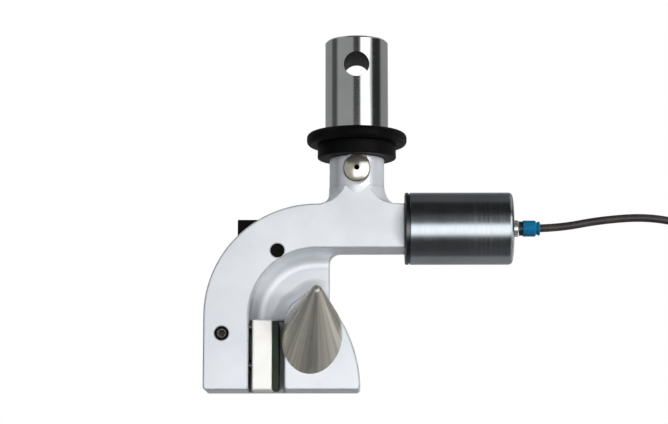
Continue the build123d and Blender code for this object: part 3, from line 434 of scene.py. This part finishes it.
def cone_steel():
    """Warm satin steel with streaks that run from the cone's tip to its foot."""
    material, tree, shader = new_material("cone_steel")
    coords = tree.nodes.new("ShaderNodeTexCoord")
    from_tip = tree.nodes.new("ShaderNodeVectorMath")
    from_tip.operation = "SUBTRACT"
    from_tip.inputs[1].default_value = CONE_APEX
    tree.links.new(coords.outputs["Object"], from_tip.inputs[0])
    direction = tree.nodes.new("ShaderNodeVectorMath")
    direction.operation = "NORMALIZE"
    tree.links.new(from_tip.outputs["Vector"], direction.inputs[0])
    streaks = noise(tree, direction.outputs["Vector"], 26.0, detail=4.0)
    clouds = noise(tree, coords.outputs["Object"], 120.0)
    share = spread(tree, streaks, 0.32, 0.68, 0.0, 1.0)
    tree.links.new(colour_between(tree, share, CONE_DARK, CONE_LIGHT), shader.inputs["Base Color"])
    tree.links.new(vary(tree, clouds, 0.26, 0.40), shader.inputs["Roughness"])
    shader.inputs["Metallic"].default_value = 0.9
    tree.links.new(bumped(tree, streaks, 0.00003), shader.inputs["Normal"])
    return material


body_alloy = satin_aluminium()
shank_polish = shank_steel()
cone_satin = cone_steel()
rod_steel = turned(
    "rod_steel", (0.70, 0.71, 0.72), (0.80, 0.80, 0.80),
    metallic=1.0, rough=0.12, along="X", scale=1100.0, depth=0.000003,
)
black_ring = turned(
    "black_ring", BLACK_DARK, (0.005, 0.004, 0.004),
    metallic=0.0, rough=0.45, along="Z", gloss=BLACK_GLOSS,
)
# Barrel: the dark rims on its rounded ends are a painted dark reflection
barrel_grey = turned(
    "barrel_grey", (0.46, 0.49, 0.52), (0.55, 0.58, 0.61),
    metallic=1.0, rough=0.23, along="X", depth=0.000003, edge_colour=(0.08, 0.085, 0.08),
)
cap_grey = turned(
    "cap_grey", (0.10, 0.105, 0.11), (0.16, 0.165, 0.17),
    metallic=1.0, rough=0.30, along="X",
)
alloy_turned = turned(
    "alloy_turned", (0.62, 0.66, 0.70), (0.72, 0.75, 0.78),
    metallic=0.8, rough=0.3, along="X",
)
fitting_nickel = turned(
    "fitting_nickel", (0.78, 0.77, 0.73), (0.90, 0.89, 0.85),
    metallic=0.9, rough=0.2, along="X", scale=1400.0, depth=0.000006,
)
# Coupling pin: the dark spot on its centre drill is painted shade
pin_nickel = ground(
    "pin_nickel", (0.80, 0.74, 0.62), (0.93, 0.89, 0.80),
    metallic=0.95, rough=0.22, scale=900.0, depth=0.000005,
    spot=(COUPLING_X, COUPLING_Z, CENTRE_DRILL_RADIUS, (0.02, 0.018, 0.015)),
)
jaw_plate = ground(
    "jaw_plate", (0.73, 0.72, 0.695), (0.81, 0.80, 0.775),
    metallic=0.35, rough=0.34, scale=1300.0, edge_colour=(0.55, 0.54, 0.50),
)
pad_rubber = ground(
    "pad_rubber", (0.007, 0.013, 0.008), (0.020, 0.027, 0.016),
    metallic=0.0, rough=0.62, scale=1200.0, depth=0.00004, gloss=0.3,
)
lever_black = ground(
    "lever_black", BLACK_DARK, BLACK_LIGHT,
    metallic=0.0, rough=0.5, scale=900.0, gloss=BLACK_GLOSS,
)
fulcrum_black = ground(
    "fulcrum_black", BLACK_DARK, BLACK_LIGHT,
    metallic=0.0, rough=0.5, scale=900.0, gloss=BLACK_GLOSS,
    spot=(FULCRUM_X, FULCRUM_Z, FULCRUM_SOCKET_RADIUS, (0.16, 0.15, 0.145)),
)
bush_bronze = ground(
    "bush_bronze", (0.42, 0.28, 0.12), (0.58, 0.42, 0.20),
    metallic=0.9, rough=0.38, scale=1400.0,
)
screw_steel = ground(
    "screw_steel", (0.10, 0.10, 0.11), (0.18, 0.18, 0.19),
    metallic=0.9, rough=0.36,
)
spring_steel = ground(
    "spring_steel", (0.36, 0.36, 0.37), (0.50, 0.50, 0.51),
    metallic=1.0, rough=0.28, scale=1500.0,
)
seal_rubber = ground(
    "seal_rubber", (0.006, 0.008, 0.008), (0.014, 0.016, 0.016),
    metallic=0.0, rough=0.30, scale=1500.0,
)
fitting_blue = ground(
    "fitting_blue", (0.001, 0.075, 0.16), (0.002, 0.110, 0.225),
    metallic=0.0, rough=0.36, scale=900.0, gloss=0.15,
)
hose_black = ground(
    "hose_black", (0.014, 0.012, 0.012), (0.032, 0.028, 0.027),
    metallic=0.0, rough=0.30, scale=700.0,
)

finishes = {
    "body_frame": body_alloy,
    "shank_adapter": shank_polish,
    "thrust_washer": black_ring,
    "lock_nut": black_ring,
    "coupling_pin": pin_nickel,
    "pin_lock_screw": screw_steel,
    "horn_cone": cone_satin,
    "cone_screw": screw_steel,
    "lever": lever_black,
    "lever_bush": bush_bronze,
    "fulcrum_pin": fulcrum_black,
    "stop_pin": lever_black,
    "jaw_block": jaw_plate,
    "jaw_pad": pad_rubber,
    "pad_screws": screw_steel,
    "jaw_guide_pin": screw_steel,
    "jaw_guide_bush": bush_bronze,
    "jaw_return_screw": screw_steel,
    "front_cap": cap_grey,
    "cap_o_ring": seal_rubber,
    "rod_front_bush": bush_bronze,
    "rod_guide_bush": bush_bronze,
    "cylinder_barrel": barrel_grey,
    "piston": alloy_turned,
    "piston_seal": seal_rubber,
    "piston_guide_ring": bush_bronze,
    "piston_nut": screw_steel,
    "piston_rod": rod_steel,
    "fitting_base": fitting_nickel,
    "fitting_ring": seal_rubber,
    "fitting_sleeve": fitting_blue,
    "release_collar": fitting_blue,
    "hose_tie": seal_rubber,
    "hose_plug": fitting_nickel,
}
dressed = [(bpy.data.objects[node], material) for node, material in finishes.items()]
dressed += [(spring, spring_steel) for spring in springs]
for piece, material in dressed:
    piece.data.materials.clear()
    piece.data.materials.append(material)
hose_curve.materials.append(hose_black)


# Floor, plain and pale
FLOOR_REACH = 6.0
FLOOR_DROP = 0.06  # below the CAD's lowest point


def make_floor():
    material, tree, shader = new_material("floor")
    shader.inputs["Base Color"].default_value = (0.70, 0.70, 0.70, 1.0)
    shader.inputs["Roughness"].default_value = 0.9
    mesh = bpy.data.meshes.new("floor")
    level = cad_box[0].z - FLOOR_DROP
    corners = [
        (-FLOOR_REACH, -FLOOR_REACH, level),
        (FLOOR_REACH, -FLOOR_REACH, level),
        (FLOOR_REACH, FLOOR_REACH, level),
        (-FLOOR_REACH, FLOOR_REACH, level),
    ]
    mesh.from_pydata(corners, [], [(0, 1, 2, 3)])
    mesh.materials.append(material)
    floor = bpy.data.objects.new("floor", mesh)
    bpy.context.scene.collection.objects.link(floor)
    floor.visible_glossy = False


make_floor()


# World: white behind the object and in its reflections, softer as light on it
SKY_COLOUR = (0.97, 0.985, 1.0, 1.0)
SOFT_STRENGTH = 0.50


def background(tree, colour, strength):
    node = tree.nodes.new("ShaderNodeBackground")
    node.inputs["Color"].default_value = colour
    node.inputs["Strength"].default_value = strength
    return node.outputs["Background"]


def make_world():
    world = bpy.data.worlds.new("studio")
    world.use_nodes = True
    bpy.context.scene.world = world
    tree = world.node_tree
    tree.nodes.clear()
    soft = background(tree, SKY_COLOUR, SOFT_STRENGTH)
    white = background(tree, (1.0, 1.0, 1.0, 1.0), 1.0)
    path = tree.nodes.new("ShaderNodeLightPath").outputs
    seen = combine(tree, "MAXIMUM", path["Is Camera Ray"], path["Is Glossy Ray"])
    seen_or_through = combine(tree, "MAXIMUM", seen, path["Is Transmission Ray"])
    choose = tree.nodes.new("ShaderNodeMixShader")
    output = tree.nodes.new("ShaderNodeOutputWorld")
    tree.links.new(seen_or_through, choose.inputs["Fac"])
    tree.links.new(soft, choose.inputs[1])
    tree.links.new(white, choose.inputs[2])
    tree.links.new(choose.outputs["Shader"], output.inputs["Surface"])


make_world()


# Lamps: a soft key from the front right and above, a low side lamp beside it, both with a grid
# (a narrow spread) that keeps their light off the floor, a fill from the left and one behind
def area_lamp(name, place, size, watts, spread=180.0):
    data = bpy.data.lights.new(name, "AREA")
    data.shape = "SQUARE"
    data.size = size
    data.energy = watts
    data.spread = math.radians(spread)
    lamp = bpy.data.objects.new(name, data)
    bpy.context.scene.collection.objects.link(lamp)
    lamp.location = place
    aim = Vector((0.0, 0.0, GRIP_MIDDLE_Z)) - Vector(place)
    lamp.rotation_mode = "QUATERNION"
    lamp.rotation_quaternion = aim.to_track_quat("-Z", "Y")
    lamp.visible_glossy = False


area_lamp("key", (0.80, -1.15, 0.30), size=0.6, watts=1.60, spread=70.0)
area_lamp("side", (0.95, -0.75, -0.12), size=0.3, watts=1.00, spread=50.0)
area_lamp("fill", (-1.1, -1.5, 0.15), size=1.2, watts=4.0)
area_lamp("back", (-0.5, 1.6, 0.6), size=1.2, watts=7.0)


# What the metal reflects: a dome of soft panels, seen by no camera and lighting nothing by itself.
# Azimuth 0 is the front and +90 the cylinder's side; height is above the horizon. In degrees.
DOME_RADIUS = 2.5
DOME_STEP = 2
DOME_BASE = 0.29
ALL_ROUND = (-180, 180)
panels = [
    # azimuths, heights, brightness, soft edge; a later panel covers an earlier one
    (ALL_ROUND, (42, 90), 0.11, 8),
    ((-150, -46), (42, 68), 0.45, 8),
    ((46, 150), (42, 68), 0.45, 8),
    (ALL_ROUND, (-90, -72), 0.08, 8),
    ((-206, -154), (-18, 34), 0.33, 10),
    ((154, 206), (-18, 34), 0.33, 10),
    ((-76, -7), (-15, 42), 0.34, 12),
    ((-102, -76), (-8, 42), 0.08, 10),
    ((52, 98), (-8, 42), 0.03, 16),
    ((-150, -28), (-66, -10), 0.34, 6),
    ((28, 150), (-66, -10), 0.40, 6),
    ((64, 150), (-24, -8), 1.10, 6),
    ((-32, 32), (-90, -34), 0.05, 14),
    ((-45, 45), (28, 90), 0.02, 12),
    ((9, 54), (-24, 30), 1.60, 14),
    ((-14, 14), (-28, 4), 1.95, 14),
    ((-12, 14), (9, 36), 0.05, 6),
]


def smooth(value):
    share = min(1.0, max(0.0, value))
    return share * share * (3 - 2 * share)


def panel_share(at, limits, soft):
    """1 inside the limits, 0 outside, with an edge as wide as soft."""
    return smooth((at - limits[0]) / soft + 0.5) * smooth((limits[1] - at) / soft + 0.5)


def dome_brightness(azimuth, height):
    value = DOME_BASE
    for azimuths, heights, brightness, soft in panels:
        share = panel_share(height, heights, soft)
        if azimuths != ALL_ROUND:
            share *= panel_share(azimuth, azimuths, soft)
        value += (brightness - value) * share
    return value


def dome_point(azimuth, height):
    turn, tilt = math.radians(azimuth), math.radians(height)
    return (
        DOME_RADIUS * math.cos(tilt) * math.sin(turn),
        -DOME_RADIUS * math.cos(tilt) * math.cos(turn),
        DOME_RADIUS * math.sin(tilt) + GRIP_MIDDLE_Z,
    )


def glow_material(name):
    """Light from the surface, as strong as the mesh's own glow attribute says."""
    material = bpy.data.materials.new(name)
    material.use_nodes = True
    tree = material.node_tree
    tree.nodes.clear()
    attribute = tree.nodes.new("ShaderNodeAttribute")
    attribute.attribute_name = "glow"
    light = tree.nodes.new("ShaderNodeEmission")
    light.inputs["Color"].default_value = SKY_COLOUR
    out = tree.nodes.new("ShaderNodeOutputMaterial")
    tree.links.new(attribute.outputs["Fac"], light.inputs["Strength"])
    tree.links.new(light.outputs["Emission"], out.inputs["Surface"])
    return material


def reflected_only(name, corners, faces, glow):
    """A stage piece that shows in reflections alone."""
    mesh = bpy.data.meshes.new(name)
    mesh.from_pydata(corners, [], faces)
    attribute = mesh.attributes.new("glow", "FLOAT", "POINT")
    for item, value in zip(attribute.data, glow):
        item.value = value
    mesh.materials.append(glow_material(name))
    sheet = bpy.data.objects.new(name, mesh)
    bpy.context.scene.collection.objects.link(sheet)
    sheet.visible_camera = False
    sheet.visible_diffuse = False
    sheet.visible_shadow = False
    sheet.visible_transmission = False


def make_dome():
    columns = 360 // DOME_STEP
    rows = 180 // DOME_STEP
    corners, glow, faces = [], [], []
    for row in range(rows + 1):
        height = -90 + DOME_STEP * row
        for column in range(columns + 1):
            azimuth = -180 + DOME_STEP * column
            corners.append(dome_point(azimuth, height))
            glow.append(dome_brightness(azimuth, height))
    for row in range(rows):
        for column in range(columns):
            at = row * (columns + 1) + column
            faces.append((at, at + 1, at + columns + 2, at + columns + 1))
    reflected_only("reflector_dome", corners, faces, glow)


make_dome()


bpy.context.scene.view_settings.view_transform = "Standard"
